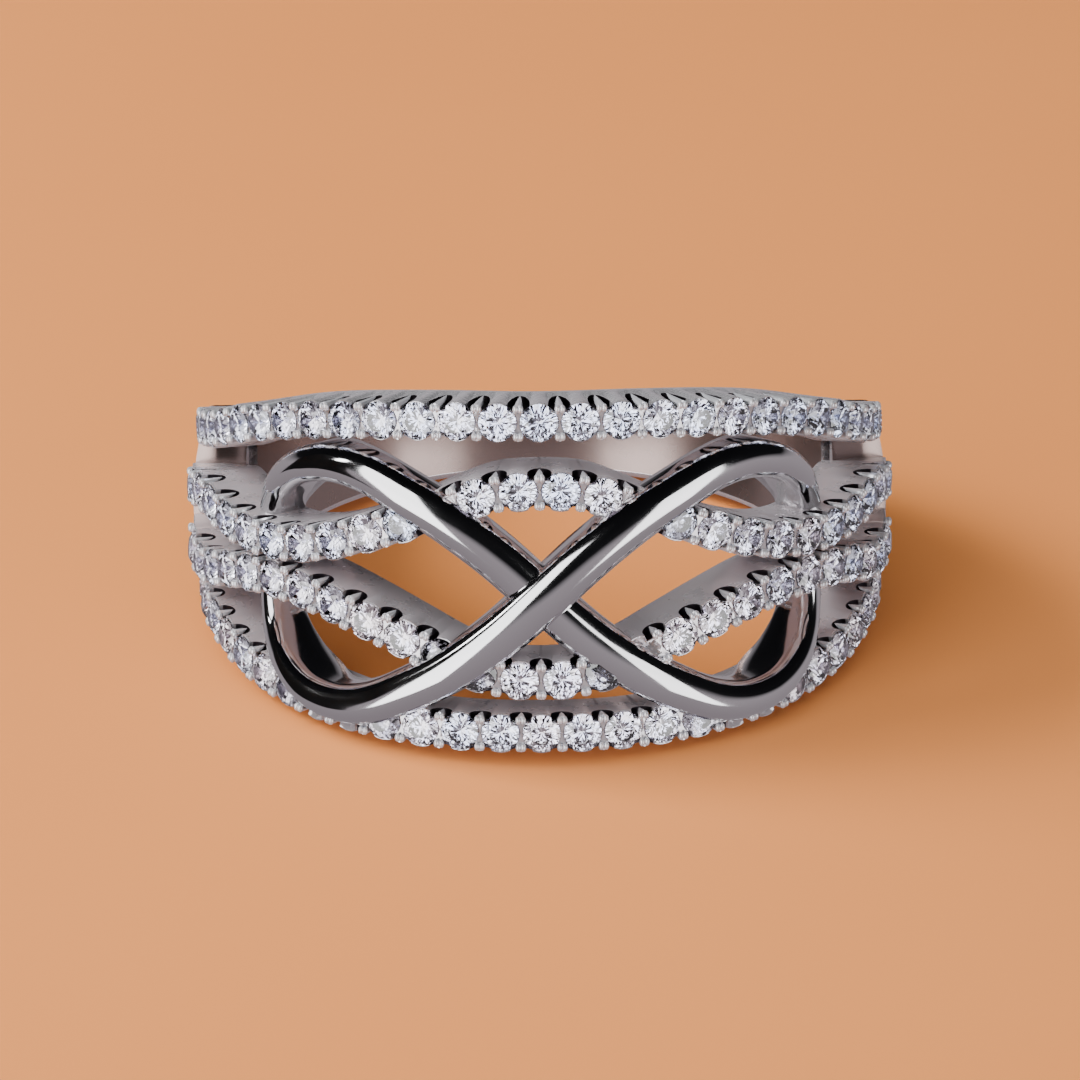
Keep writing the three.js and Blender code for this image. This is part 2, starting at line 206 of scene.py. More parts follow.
class Draft:
    """Collects corners and faces of one object, then makes it."""

    def __init__(self) -> None:
        """Starts empty."""
        self.points: list[np.ndarray] = []
        self.faces: Faces = []
        self.slots: list[int] = []
        self.tones: list[float] = []
        self.count = 0

    def add(self, points: np.ndarray, faces: Faces, slot: int = 0, tone: float = 0.5) -> None:
        """Adds one body.

        Args:
            points: its corners in metres, one row each.
            faces: its faces as lists of corner numbers.
            slot: number of its material.
            tone: value of the face attribute that its material reads.
        """
        self.points.append(points)
        self.faces += [[c + self.count for c in face] for face in faces]
        self.slots += [int(slot)] * len(faces)
        self.tones += [tone] * len(faces)
        self.count += len(points)

    def sweep(
        self,
        sections: np.ndarray,
        closed: bool,
        slot_at: Callable[[int, int], int] = lambda s, c: 0,
    ) -> None:
        """Adds a body swept through sections of equal corner count.

        Args:
            sections: array of sections by corners by 3, in metres.
            closed: whether the last section joins the first.
            slot_at: gives a face's material from its section and corner number.
        """
        count, corners = sections.shape[:2]
        faces: Faces = []
        slots: list[int] = []
        for s in range(count if closed else count - 1):
            here, there = s * corners, ((s + 1) % count) * corners
            for c in range(corners):
                d = (c + 1) % corners
                faces.append([here + c, there + c, there + d, here + d])
                slots.append(int(slot_at(s, c)))
        if not closed:
            last = (count - 1) * corners
            faces.append(list(range(corners)))
            faces.append([last + c for c in reversed(range(corners))])
            slots += [0, 0]
        first = len(self.slots)
        self.add(sections.reshape(-1, 3), faces)
        self.slots[first:] = slots

    def make(self, name: str, materials: list[Material], sharp: float) -> bpy.types.Object:
        """Makes the object.

        Args:
            name: its name.
            materials: one for each slot number.
            sharp: edges steeper than this, in degrees, stay sharp. At 0 all faces are flat.

        Returns:
            The object, linked to the scene.
        """
        mesh = bpy.data.meshes.new(name)
        mesh.from_pydata(np.concatenate(self.points).tolist(), [], self.faces)
        for material in materials:
            mesh.materials.append(material)
        mesh.polygons.foreach_set("material_index", self.slots)
        tone = mesh.attributes.new(name="tone", type="FLOAT", domain="FACE")
        tone.data.foreach_set("value", self.tones)
        mesh.polygons.foreach_set("use_smooth", [sharp > 0] * len(self.faces))
        if sharp > 0:
            mesh.set_sharp_from_angle(angle=math.radians(sharp))
        mesh.update()
        made = bpy.data.objects.new(name, mesh)
        bpy.context.scene.collection.objects.link(made)
        return made


class Graph:
    """The nodes of one material or world."""

    def __init__(self, tree: bpy.types.NodeTree) -> None:
        """Clears the tree and keeps it."""
        tree.nodes.clear()
        self.tree = tree

    def add(
        self, kind: str, settings: dict | None = None, inputs: dict | None = None
    ) -> bpy.types.Node:
        """Adds a node.

        Args:
            kind: the node's Blender type.
            settings: properties to set on it.
            inputs: values, or output sockets to link from, by input name or number.

        Returns:
            The node.
        """
        node = self.tree.nodes.new(kind)
        for name, value in (settings or {}).items():
            setattr(node, name, value)
        for name, value in (inputs or {}).items():
            if isinstance(value, Socket):
                self.tree.links.new(value, node.inputs[name])
            else:
                node.inputs[name].default_value = value
        return node


@dataclass(frozen=True)
class Finish:
    """What every finish has: a name and one Principled shader."""

    name: str

    def inputs(self, graph: Graph) -> dict[str, object]:
        """The shader's inputs, each a constant or the socket of a pattern, by name."""
        raise NotImplementedError

    def build(self) -> Material:
        """Makes the material.

        Returns:
            The material.
        """
        material = bpy.data.materials.new(self.name)
        material.use_nodes = True
        graph = Graph(material.node_tree)
        shader = graph.add("ShaderNodeBsdfPrincipled", inputs=self.inputs(graph))
        graph.add("ShaderNodeOutputMaterial", inputs={"Surface": shader.outputs["BSDF"]})
        return material


@dataclass(frozen=True)
class PolishedSilver(Finish):
    """Rhodium-plated silver, mirror polished.

    Faint haze and hairlines, which polishing leaves, give its black and white bands soft edges.
    """

    name: str = "polished_silver"
    colour: str = "e9e8ea"
    roughness: float = 0.07
    haze: float = 0.05
    haze_mm: float = 10 / 9
    # Real hairlines are finer. These are as coarse as they need to be to show.
    hairline_mm: float = 0.3
    hairline_length: float = 14.0
    hairline_depth_mm: float = 0.0004

    def inputs(self, graph: Graph) -> dict[str, object]:
        """The shader's inputs.

        Args:
            graph: takes the patterns' nodes.

        Returns:
            Constants and sockets by input name.
        """
        place = graph.add("ShaderNodeTexCoord").outputs["Object"]
        waves = {"Vector": place, "Scale": 1 / (self.haze_mm * MM), "Detail": 3.0}
        clouds = graph.add("ShaderNodeTexNoise", inputs=waves).outputs["Fac"]
        limits = {"From Min": 0.3, "From Max": 0.7, "To Min": self.roughness}
        limits |= {"Value": clouds, "To Max": self.roughness + self.haze}
        rough = graph.add("ShaderNodeMapRange", inputs=limits)
        stretch = {"Vector": place, "Scale": (1.0, 1.0, self.hairline_length)}
        drawn = graph.add("ShaderNodeMapping", inputs=stretch).outputs["Vector"]
        scale = 1 / (self.hairline_mm * MM * self.hairline_length)
        waves = {"Vector": drawn, "Scale": scale, "Detail": 2.0}
        hairlines = graph.add("ShaderNodeTexNoise", inputs=waves).outputs["Fac"]
        relief = {"Height": hairlines, "Distance": self.hairline_depth_mm * MM, "Strength": 1.0}
        bump = graph.add("ShaderNodeBump", inputs=relief)
        return {
            "Base Color": linear(self.colour),
            "Metallic": 1.0,
            "Roughness": rough.outputs["Result"],
            "Normal": bump.outputs["Normal"],
        }


@dataclass(frozen=True)
class CutSilver(Finish):
    """Silver cut and burnished round the stones.

    Small dents and a little grime give the eye the brighter and darker facets of metal cut by hand.
    """

    name: str = "bright_cut_silver"
    colour: str = "eeedf1"
    shade: str = "c9c5ca"
    roughness: float = 0.16
    metallic: float = 0.7
    grime_mm: float = 5 / 7
    dent_mm: float = 0.12
    dent_depth_mm: float = 0.012

    def inputs(self, graph: Graph) -> dict[str, object]:
        """The shader's inputs.

        Args:
            graph: takes the patterns' nodes.

        Returns:
            Constants and sockets by input name.
        """
        place = graph.add("ShaderNodeTexCoord").outputs["Object"]
        cells = {"Vector": place, "Scale": 1 / (self.dent_mm * MM)}
        dents = graph.add("ShaderNodeTexVoronoi", {"feature": "SMOOTH_F1"}, cells)
        waves = {"Vector": place, "Scale": 1 / (self.grime_mm * MM), "Detail": 4.0}
        grime = graph.add("ShaderNodeTexNoise", inputs=waves).outputs["Fac"]
        tones = {"Factor": grime, 6: linear(self.shade), 7: linear(self.colour)}
        colour = graph.add("ShaderNodeMix", {"data_type": "RGBA"}, tones)
        depth = self.dent_depth_mm * MM
        relief = {"Height": dents.outputs["Distance"], "Distance": depth, "Strength": 1.0}
        bump = graph.add("ShaderNodeBump", inputs=relief)
        return {
            "Base Color": colour.outputs[2],
            "Metallic": self.metallic,
            "Roughness": self.roughness,
            "Normal": bump.outputs["Normal"],
        }


@dataclass(frozen=True)
class SatinSilver(Finish):
    """Silver left satin on walls, in the bore and on the grains.

    Part of it scatters light instead of mirroring it, which gives the eye the milky brightness of
    metal whose polish is broken by fine tool marks.
    """

    colour: str
    roughness: float
    metallic: float
    uneven: float = 0.1
    patch_mm: float = 0.9
    ends: tuple[float, float] = (0.3, 0.7)

    def inputs(self, graph: Graph) -> dict[str, object]:
        """The shader's inputs.

        Args:
            graph: takes the patterns' nodes.

        Returns:
            Constants and sockets by input name.
        """
        place = graph.add("ShaderNodeTexCoord").outputs["Object"]
        waves = {"Vector": place, "Scale": 1 / (self.patch_mm * MM), "Detail": 3.0}
        patches = graph.add("ShaderNodeTexNoise", inputs=waves).outputs["Fac"]
        limits = {"From Min": self.ends[0], "From Max": self.ends[1], "To Min": self.roughness}
        limits |= {"Value": patches, "To Max": self.roughness + self.uneven}
        rough = graph.add("ShaderNodeMapRange", inputs=limits)
        return {
            "Base Color": linear(self.colour),
            "Metallic": self.metallic,
            "Roughness": rough.outputs["Result"],
        }


@dataclass(frozen=True)
class BrilliantStone(Finish):
    """Clear cubic zirconia.

    Each stone's own tone shifts its colour from cool to warm, so that the eye sees single stones.
    The warm end is also painted reflection of the warm table top, which the stones don't see: the
    lower rails' stones lean warmer.
    """

    name: str = "clear_stone"
    cool: str = "e6ecff"
    warm: str = "faeef2"
    index: float = 2.16

    def inputs(self, graph: Graph) -> dict[str, object]:
        """The shader's inputs.

        Args:
            graph: takes the tone's node.

        Returns:
            Constants and sockets by input name.
        """
        tone = graph.add("ShaderNodeAttribute", {"attribute_name": "tone"}).outputs["Fac"]
        tones = {"Factor": tone, 6: linear(self.cool), 7: linear(self.warm)}
        colour = graph.add("ShaderNodeMix", {"data_type": "RGBA"}, tones)
        return {
            "Base Color": colour.outputs[2],
            "Roughness": 0.0,
            "IOR": self.index,
            "Transmission Weight": 1.0,
        }


@dataclass(frozen=True)
class TableTop(Finish):
    """A plain pale surface. A slow drift of its tone keeps it from looking like flat paint."""

    name: str = "pale_table"
    colour: str = "f39a52"
    shade: str = "ea8f49"
    roughness: float = 0.7
    drift_mm: float = 40.0

    def inputs(self, graph: Graph) -> dict[str, object]:
        """The shader's inputs.

        Args:
            graph: takes the patterns' nodes.

        Returns:
            Constants and sockets by input name.
        """
        place = graph.add("ShaderNodeTexCoord").outputs["Object"]
        waves = {"Vector": place, "Scale": 1 / (self.drift_mm * MM), "Detail": 2.0}
        drift = graph.add("ShaderNodeTexNoise", inputs=waves).outputs["Fac"]
        tones = {"Factor": drift, 6: linear(self.shade), 7: linear(self.colour)}
        colour = graph.add("ShaderNodeMix", {"data_type": "RGBA"}, tones)
        return {"Base Color": colour.outputs[2], "Roughness": self.roughness}


@dataclass(frozen=True)
class BlackCard(Finish):
    """Black card, which gives polished metal a dark edge beside the key lamp."""

    name: str = "black_card"
    colour: str = "060606"

    def inputs(self, graph: Graph) -> dict[str, object]:
        """The shader's inputs, by name."""
        return {"Base Color": linear(self.colour), "Roughness": 1.0}


class RailMetal(IntEnum):
    """Material slots of a rail's metal."""

    CUT = 0
    # Painted shade: the faces deep in the cuts between the stones.
    PAINTED_SHADE = 1
    WALL = 2
    GRAIN = 3


class ShankMetal(IntEnum):
    """Material slots of the shank."""

    POLISHED = 0
    # Bore and webs, painted with the warm reflection of the table top.
    BORE = 1
    SIDE = 2


class Rail(Enum):
    """The four rails of stones, by the names of their pieces."""

    UPPER_EDGE = "upper_edge"
    UPPER_STRAND = "upper_strand"
    LOWER_STRAND = "lower_strand"
    LOWER_EDGE = "lower_edge"

    @property
    def edge(self) -> bool:
        """Whether it is an edge rail."""
        return self in (Rail.UPPER_EDGE, Rail.LOWER_EDGE)

    @property
    def node(self) -> str:
        """The CAD node that it stands for."""
        return f"{self.value}_rail" if self.edge else "crossing_strands"


@dataclass
class Lattice:
    """The heights of the four rails, from tables of shares of named heights."""

    sizes: RingSizes
    edge_front: float = 4.65
    edge_swell: float = 2.9
    strand_front: float = 2.83
    strand_swell: float = 1.1
    strand_drop: float = 0.15
    edge_angles: Column = (0, 20, 40, 58, 74, 82, 90)
    edge_fronts: Column = (1, 0.97, 0.78, 0.42, 0, 0, 0)
    edge_swells: Column = (0, 0.03, 0.22, 0.58, 1, 0.5, 0)
    strand_angles: Column = (0, 8, 15, 23, 32, 41, 50, 60, 74, 82, 90)
    strand_fronts: Column = (1, 0.95, 0.76, 0.5, 0.25, 0.07, 0, 0, 0, 0, 0)
    strand_meets: Column = (0, 0.05, 0.24, 0.5, 0.75, 0.93, 1, 0.75, 0, 0, 0)
    strand_swells: Column = (0, 0, 0, 0, 0, 0, 0, 0.25, 1, 0.5, 0)

    def rise(self, rail: Rail, angle: float) -> float:
        """Height of a rail's centre line.

        Args:
            rail: which rail.
            angle: from the middle of the front, in degrees.

        Returns:
            Its rise in millimetres.
        """
        meet = (self.sizes.rail_width - self.sizes.strand_overlap) / 2
        if rail.edge:
            shank, drop, angles = self.sizes.spacing * 1.5, 0.0, self.edge_angles
            parts = ((self.edge_front, self.edge_fronts), (self.edge_swell, self.edge_swells))
        else:
            shank, drop, angles = self.sizes.spacing / 2, self.strand_drop, self.strand_angles
            parts = (
                (self.strand_front, self.strand_fronts),
                (meet, self.strand_meets),
                (self.strand_swell, self.strand_swells),
            )
        height = shank
        for top, shares in parts:
            height += (top - shank) * SmoothTable(angles, shares).at(angle)
        return (height if rail in (Rail.UPPER_EDGE, Rail.UPPER_STRAND) else -height) - drop


@dataclass
class InfinityFigure:
    """The polished figure of eight: one closed band, round outside, flat towards the finger."""

    sizes: RingSizes
    reach: float = 57.0
    height: float = 3.61
    turn: float = 0.2
    drop: float = 0.53
    arm_width: float = 1.42
    loop_width: float = 0.9
    arm_rise: float = 0.55
    under_arm_sink: float = 0.35
    loop_rise: float = 0.5
    seat_sink: float = 0.17
    dive_sink: float = 0.2
    arm_floor_sink: float = 0.25
    loop_floor_rise: float = 0.15
    crown_height: float = 0.55
    soft: float = 0.06
    steps: int = 480
    arch_steps: int = 20
    # One quarter of the figure, from the crossing to the far side of a loop, as in the CAD part.
    along: Column = (0, 0.13, 0.26, 0.385, 0.51, 0.635, 0.76, 0.87, 0.96, 1)
    rises: Column = (0, 0.333, 0.606, 0.803, 0.956, 1, 0.925, 0.74, 0.48, 0)
    widths: Column = (0, 0, 0.05, 0.15, 0.3, 0.5, 0.7, 0.9, 1, 1)
    crowns: Column = (0, 0.15, 0.35, 0.55, 0.75, 0.9, 1.05, 1.3, 1.75, 2)
    floors: Column = (0, 0, 0, 0, 0.1, 0.5, 1, 1, 1, 1)
    sinks: Column = (1, 0.85, 0.4, 0.05, 0, 0, 0, 0, 0, 0)

    @property
    def seat_radius(self) -> float:
        """Top of a rail where the figure lies over it."""
        return self.sizes.edge_radius - self.seat_sink

    def spread(self, column: Column, side: bool = False, rise: bool = False) -> np.ndarray:
        """Takes one column all the way round the figure, smoothly.

        Args:
            column: values from the crossing to the far side of a loop.
            side: whether it changes sign from the right loop to the left.
            rise: whether it changes sign between the upper and lower half.

        Returns:
            Its value at every step.
        """
        out, back = np.array(column[:-1]), np.array(column[:0:-1])
        left, down = -1.0 if side else 1.0, -1.0 if rise else 1.0
        values = np.concatenate([out, down * back, left * out, left * down * back])
        place = np.arange(self.steps) / self.steps * len(values)
        i = place.astype(int)
        p = place - i
        a, b, c, d = (values[(i + k) % len(values)] for k in (-1, 0, 1, 2))
        square, cube = 2 * a - 5 * b + 4 * c - d, 3 * b - a - 3 * c + d
        return 0.5 * (2 * b + (c - a) * p + square * p**2 + cube * p**3)

    def line(self) -> tuple[np.ndarray, np.ndarray]:
        """The centre line.

        Returns:
            Its run and rise at every step.
        """
        angle = self.turn + self.reach * self.spread(self.along, side=True)
        rise = self.height * self.spread(self.rises, rise=True) - self.drop
        return np.radians(angle) * self.sizes.edge_radius, rise

    def crown(self) -> np.ndarray:
        """The outside of the band.

        Returns:
            Its radius at every step.
        """
        share, sink = self.spread(self.crowns), self.spread(self.sinks)
        round_share = np.arange(self.steps) / self.steps
        under = (round_share > 0.25) & (round_share < 0.75)
        arm = self.sizes.strand_radius + self.arm_rise
        arm = arm - np.where(under, sink, 0) * self.under_arm_sink
        loop = self.sizes.edge_radius + self.loop_rise
        dive = self.seat_radius - self.dive_sink
        return np.where(share < 1, arm + (loop - arm) * share, loop + (dive - loop) * (share - 1))

    def half_width(self) -> np.ndarray:
        """Half the band's width at every step."""
        return (self.arm_width + (self.loop_width - self.arm_width) * self.spread(self.widths)) / 2

    def covers(self, run: float, rise: float, margin: float) -> bool:
        """Whether the figure lies over a point of a rail.

        Args:
            run: the point's distance round the ring.
            rise: its height along the finger.
            margin: how far beside the figure still counts, where that runs high above the seats.

        Returns:
            True where a stone or prong would meet the figure.
        """
        line_run, line_rise = self.line()
        away = np.hypot(line_run - run, line_rise - rise) - self.half_width()
        high = self.crown() > self.sizes.strand_radius
        low = (self.crown() > self.seat_radius) & ~high
        return bool(np.any(high & (away < margin)) or np.any(low & (away < 0)))

    def build(self, silver: Material) -> bpy.types.Object:
        """Sweeps the band.

        Args:
            silver: its finish.

        Returns:
            The band.
        """
        run, rise = self.line()
        half, soft = self.half_width(), self.soft
        arm_floor = self.seat_radius - self.arm_floor_sink
        loop_floor = self.sizes.bore + self.loop_floor_rise
        floor = arm_floor + (loop_floor - arm_floor) * self.spread(self.floors)
        spring = self.crown() - self.crown_height
        step_run = np.roll(run, -1) - np.roll(run, 1)
        step_rise = np.roll(rise, -1) - np.roll(rise, 1)
        size = np.hypot(step_run, step_rise)
        across_run, across_rise = -step_rise / size, step_run / size
        turns = [math.pi * i / self.arch_steps for i in range(self.arch_steps + 1)]
        waist = (floor + spring) / 2
        corners = [(-half, floor + soft), (-half, waist)]
        corners += [(-half * math.cos(a), spring + self.crown_height * math.sin(a)) for a in turns]
        corners += [(half, waist), (half, floor + soft), (half - soft, floor), (soft - half, floor)]
        offset, radius = (np.stack(column, axis=1) for column in zip(*corners))
        sections = self.sizes.rolled(
            run[:, None] + across_run[:, None] * offset,
            rise[:, None] + across_rise[:, None] * offset,
            radius,
        )
        draft = Draft()
        draft.sweep(sections, closed=True)
        return draft.make("infinity_band", [silver], sharp=50)


@dataclass
class BrilliantCut:
    """A round brilliant of 57 facets, for a girdle radius of 1."""

    table: float = 0.57
    crown: float = 0.3
    pavilion: float = 0.86
    star: float = 0.78
    lower: float = 0.26
    girdle: float = 0.03

    def shape(self) -> tuple[np.ndarray, Faces]:
        """The stone, girdle at z = 0, table up.

        Returns:
            Corners, one row each, and faces.
        """
        eighth = math.pi / 4
        full = np.arange(8) * eighth
        between = full + eighth / 2
        star_reach = self.star * math.cos(eighth / 2)
        star_z = self.crown * (1 - star_reach) / (1 - self.table)
        lower_z = -self.pavilion * (1 - self.lower * math.cos(eighth / 2))
        round16 = np.arange(16) * eighth / 2

        def ring(radius: float, angles: np.ndarray, z: float) -> np.ndarray:
            """Corners round the axis."""
            x, y = radius * np.cos(angles), radius * np.sin(angles)
            return np.stack([x, y, 0 * angles + z], axis=1)

        rings = (
            ring(self.table, full, self.crown),
            ring(self.star, between, star_z),
            ring(1.0, round16, self.girdle / 2),
            ring(1.0, round16, -self.girdle / 2),
            ring(self.lower, between, lower_z),
            ring(0.0, full[:1], -self.pavilion),
        )
        top, star, upper, under, low, culet = (sum(map(len, rings[:k])) for k in range(6))
        faces: Faces = [list(range(top, top + 8))]
        for k in range(8):
            n, p = (k + 1) % 8, (k - 1) % 8
            g, m, h = 2 * k, 2 * k + 1, (2 * k + 2) % 16
            faces.append([top + k, star + k, top + n])
            faces.append([top + k, star + p, upper + g, star + k])
            faces += [[star + k, upper + g, upper + m], [star + k, upper + m, upper + h]]
            faces += [[low + k, under + m, under + g], [low + k, under + h, under + m]]
            faces.append([culet, low + k, under + g, low + p])
        for g in range(16):
            h = (g + 1) % 16
            faces.append([upper + g, under + g, under + h, upper + h])
        return np.concatenate(rings), faces


@dataclass
class Grain:
    """A rounded grain of metal at the tip of a split prong, in millimetres."""

    radii: tuple[float, float, float] = (0.085, 0.13, 0.1)
    apart: float = 0.075
    inwards: float = 0.02
    rise: float = 0.06
    sides: int = 10
    rings: int = 6

    def shape(self) -> tuple[np.ndarray, Faces]:
        """The grain round its middle.

        Returns:
            Corners and faces.
        """
        sides, rings = self.sides, self.rings
        points = [[0.0, 0.0, -1.0]]
        for polar in (math.pi * j / rings for j in range(1, rings)):
            for turn in (2 * math.pi * i / sides for i in range(sides)):
                wide = math.sin(polar)
                points.append([wide * math.cos(turn), wide * math.sin(turn), -math.cos(polar)])
        points.append([0.0, 0.0, 1.0])
        last = len(points) - 1
        faces: Faces = []
        for i in range(sides):
            n = (i + 1) % sides
            faces += [[0, 1 + n, 1 + i], [last, last - sides + i, last - sides + n]]
            for a in range(1, 1 + (rings - 2) * sides, sides):
                faces.append([a + i, a + n, a + sides + n, a + sides + i])
        return np.array(points) * np.array(self.radii), faces


@dataclass
class PaveRail:
    """One rail of stones: metal cut in between the stones, prongs in the cuts, and the stones."""

    rail: Rail
    sizes: RingSizes
    lattice: Lattice
    figure: InfinityFigure
    seed: int
    # Mean tone of its stones: the lower rails' warmer tone is painted reflection of the warm table
    # top.
    painted_table_warmth: float
    pitch: float = 1.21
    stone_diameter: float = 1.12
    girdle_sink: float = 0.02
    overrun: float = 0.4
    path_steps: int = 2400
    soft: float = 0.05
    cut_half: float = 0.34
    cut_inset: float = 0.27
    cut_depth: float = 0.65
    cut_roundness: float = 0.8
    cut_steps: int = 7
    cut_fade: float = 0.0
    fade_from: float = 20.0
    fade_over: float = 45.0
    strip_rise: float = 0.2
    strip_drop: float = 0.3
    rib_height: float = 0.28
    rib_belly: float = 0.05
    bright_ribs: bool = False
    corner_step: float = 0.01
    seat_room: float = 0.01
    seat_depth: float = 0.5
    seat_wall: float = 0.04
    seat_lip: float = 0.002
    seat_steps: int = 15
    stone_tilt: float = 2.0
    tone_spread: float = 0.2
    # How far the figure may lie over a stone's middle or a prong's foot.
    stone_under: float = 0.25
    prong_under: float = 0.05
    prong_reach: float = 0.43
    prong_radius: float = 0.12
    prong_sides: int = 8
    prong_stretch: float = 1.1
    # A prong's sections: how far below the girdle, as a share of the cut's depth, and how thick.
    prong_rows: Pairs = ((0.86, 0.08), (0.66, 0.5), (0.4, 0.85), (0.0, 1.0))
    prong_top: tuple[float, float] = (0.06, 0.8)
    path: Path = field(init=False)

    def __post_init__(self) -> None:
        """Draws the centre line."""
        edge = self.sizes.edge_radius
        half = math.radians(self.sizes.rail_end_angle) * edge + self.overrun
        run = np.linspace(-half, half, self.path_steps + 1)
        rise = np.array([self.lattice.rise(self.rail, math.degrees(r / edge)) for r in run])
        self.path = Path(run, rise)

    @property
    def girdle_radius(self) -> float:
        """Radius of its stones' girdles."""
        return self.sizes.edge_radius if self.rail.edge else self.sizes.strand_radius

    def spread(self) -> tuple[int, float]:
        """Lays out the stones, an odd count in an edge rail and an even one in a strand.

        Returns:
            How many stones the rail holds, and where the row starts.
        """
        count = int((self.path.total - 2 * self.overrun) // self.pitch)
        if count % 2 != (1 if self.rail.edge else 0):
            count -= 1
        return count, (self.path.total - count * self.pitch) / 2

    def depth_at(self, run: Lengths) -> Lengths:
        """Depth of the cuts at these distances round the ring."""
        turn = np.degrees(np.abs(run) / self.sizes.edge_radius)
        faded = np.clip((turn - self.fade_from) / self.fade_over, 0, 1)
        return self.cut_depth * (1 - self.cut_fade * faded)

    def stations(self) -> list[tuple[float, float, float]]:
        """Where the metal's sections lie.

        Returns:
            For each section its length along the rail, how far it is from the middle of its stone,
            and what share of the cuts' full depth the side walls are cut there.
        """
        count, start = self.spread()
        half = self.pitch / 2
        inner = half - self.cut_half
        turns = np.linspace(0, math.pi / 2, self.cut_steps + 1)[1:]
        cut = [
            (half - self.cut_half * math.cos(a), math.sin(a) ** self.cut_roundness) for a in turns
        ]
        plain = [(x, 0.0) for x in np.linspace(-inner, inner, self.seat_steps)]
        around = [(-x, depth) for x, depth in reversed(cut)] + plain + cut
        found = [(self.overrun, half, 0.0)]
        for stone in range(count):
            middle = start + (stone + 0.5) * self.pitch
            for x, depth in around:
                outermost = (stone == 0 and x < -inner) or (stone == count - 1 and x > inner)
                found.append((middle + x, abs(x), 0.0 if outermost else depth))
        found.append((self.path.total - self.overrun, half, 0.0))
        return found

    def metal(self, draft: Draft) -> None:
        """Sweeps the rail's metal, with a seat for each stone and a round-topped cut between seats.

        Args:
            draft: takes the metal.
        """
        length, away, cut = (np.array(column) for column in zip(*self.stations()))
        bore, top = self.sizes.bore, self.girdle_radius - self.girdle_sink
        side, soft, step = self.sizes.rail_width / 2, self.soft, self.corner_step
        run, rise = self.path.at(length)
        along_run, along_rise = self.path.tangent(length)
        depth, everywhere = self.depth_at(run), np.ones_like(run)
        begin = np.minimum(top - cut * depth, top - soft)
        strip = np.maximum(bore + self.strip_rise, top - depth - self.strip_drop)
        belly = self.rib_belly * np.minimum(away / (self.pitch / 2 - self.cut_half), 1) ** 2
        inset = np.where(cut > 0, self.cut_inset, belly)
        seat_half = self.stone_diameter / 2 + self.seat_room
        hole = np.sqrt(np.maximum(seat_half**2 - away**2, 0.0))
        hole = np.minimum(hole, side - inset - self.seat_wall)

        def cone(offset: np.ndarray) -> np.ndarray:
            """Radius of the seat's floor at an offset from its middle line."""
            return top - self.seat_depth * (1 - np.minimum(np.hypot(away, offset) / seat_half, 1.0))

        # One side of a section, as offset and radius, from the bore over the wall into the seat.
        wall = [
            ((side - soft) * everywhere, bore * everywhere),
            (side * everywhere, (bore + soft) * everywhere),
            (side * everywhere, strip),
            (side - belly, np.minimum(strip + self.rib_height, begin - step)),
            (side - belly, begin),
            (side - inset, begin + step),
            (side - inset, (top - soft * 0.6) * everywhere),
            (side - inset - soft * 0.4, top * everywhere),
            (hole, (top - self.seat_lip) * everywhere),
            (hole * 0.96, np.minimum(cone(hole * 0.96), top - 2 * self.seat_lip)),
            (hole * 0.5, cone(hole * 0.5)),
        ]
        middle = [(0 * everywhere, cone(0 * everywhere))]
        corners = [(-offset, radius) for offset, radius in wall] + middle + wall[::-1]
        offset, radius = (np.stack(column, axis=1) for column in zip(*corners))
        sections = self.sizes.rolled(
            run[:, None] - along_rise[:, None] * offset,
            rise[:, None] + along_run[:, None] * offset,
            radius,
        )
        last = len(corners) - 2

        def slot_at(section: int, corner: int) -> int:
            """The metal of one face.

            Args:
                section: the section that it starts at.
                corner: the corner that it starts at.

            Returns:
                Its slot number.
            """
            level = min(corner, last - corner)
            # Faces deep in a cut take the painted shade.
            if level in (4, 5) and cut[section] > 0 and cut[section + 1] > 0:
                return RailMetal.PAINTED_SHADE
            walled = level < 2 or (level < 4 and not self.bright_ribs)
            return RailMetal.WALL if walled else RailMetal.CUT

        draft.sweep(sections, closed=False, slot_at=slot_at)

    def seat(self, length: float, offset: float = 0.0) -> Matrix:
        """The frame of a seat: x along the rail, y across it, z outwards.

        Args:
            length: where it lies along the rail.
            offset: how far it lies to the side.

        Returns:
            The frame, its origin at the girdle, in metres.
        """
        run, rise = self.path.at(length)
        along_run, along_rise = map(float, self.path.tangent(length))
        angle = run / self.sizes.edge_radius
        tip = Matrix.Rotation(-math.radians(self.sizes.lean), 3, "X")
        level, up = Vector((math.cos(angle), math.sin(angle), 0)), Vector((0, 0, 1))
        along = tip @ (level * along_run + up * along_rise)
        across = tip @ (up * along_run - level * along_rise)
        seat = Matrix((along, across, along.cross(across))).transposed().to_4x4()
        origin = Vector(self.sizes.rolled(run, rise, self.girdle_radius))
        seat.translation = origin + across * (offset * MM)
        return seat

    def placed(self, seat: Matrix, points: np.ndarray) -> np.ndarray:
        """Points given in millimetres in a seat's frame, in metres in the scene."""
        return points @ np.array(seat.to_3x3()).T * MM + np.array(seat.translation)

